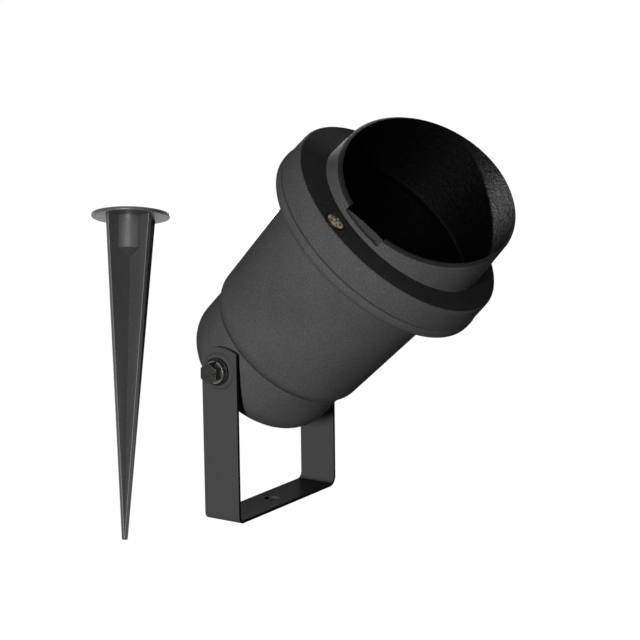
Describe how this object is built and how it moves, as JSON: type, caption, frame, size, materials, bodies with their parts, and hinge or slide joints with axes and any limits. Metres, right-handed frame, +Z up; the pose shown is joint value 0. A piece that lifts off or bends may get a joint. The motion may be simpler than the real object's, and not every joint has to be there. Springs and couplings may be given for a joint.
{
  "type": "landscape spotlight",
  "caption": "Cylindrical outdoor spotlight with an angled glare hood and glass lens, tilting in a strip yoke, with a separate four-ribbed ground stake.",
  "frame": {"origin": "centre of the yoke's mounting hole, on the yoke's flat underside", "axes": "+Z up through the mounting hole, X along the tilt axis with the leg nearest the camera at -X, -Y the way the lamp faces"},
  "size_m": [0.1879, 0.2345, 0.2414],
  "materials": {
    "cast_coated": "fine-texture charcoal black powder coat on cast aluminium",
    "steel_coated": "charcoal black powder coat on steel strip",
    "steel_plated": "bright zinc plated",
    "gasket_rubber": "matt black rubber",
    "lens_glass": "clear flat glass",
    "porcelain": "glazed white porcelain",
    "brass": "plain brass",
    "ground_green": "green passivated steel",
    "stake_plastic": "matt black moulded plastic"
  },
  "bodies": {
    "yoke": {"yoke": "steel_coated"},
    "head": {"pivot_bolts": "steel_plated", "lock_washers": "steel_plated", "flat_washers": "steel_plated", "friction_washers": "gasket_rubber", "main_housing": "cast_coated", "rear_cover": "cast_coated", "rear_gasket": "gasket_rubber", "rear_cover_screws": "steel_plated", "cable_grommet": "gasket_rubber", "bezel_ring": "cast_coated", "bezel_gasket": "gasket_rubber", "bezel_screws": "steel_plated", "lens": "lens_glass", "lens_seat_gasket": "gasket_rubber", "lens_gasket": "gasket_rubber", "glare_hood": "cast_coated", "socket_bracket": "steel_plated", "bracket_screws": "steel_plated", "lampholder": "porcelain", "holder_screws": "steel_plated", "screw_shell": "brass", "centre_contact": "brass", "ground_screw": "ground_green"},
    "stake": {"ground_stake": "stake_plastic"}
  },
  "joints": [
    {"name": "head_tilt", "type": "hinge", "parent": "yoke", "child": "head", "pos_m": [0, 0, 0.093], "axis": [-1, 0, 0], "range_deg": [-52, 45]},
    {"name": "stake_lift", "type": "slide", "parent": "yoke", "child": "stake", "axis": [0, 0, 1], "range_m": [0, 0.25]}
  ]
}
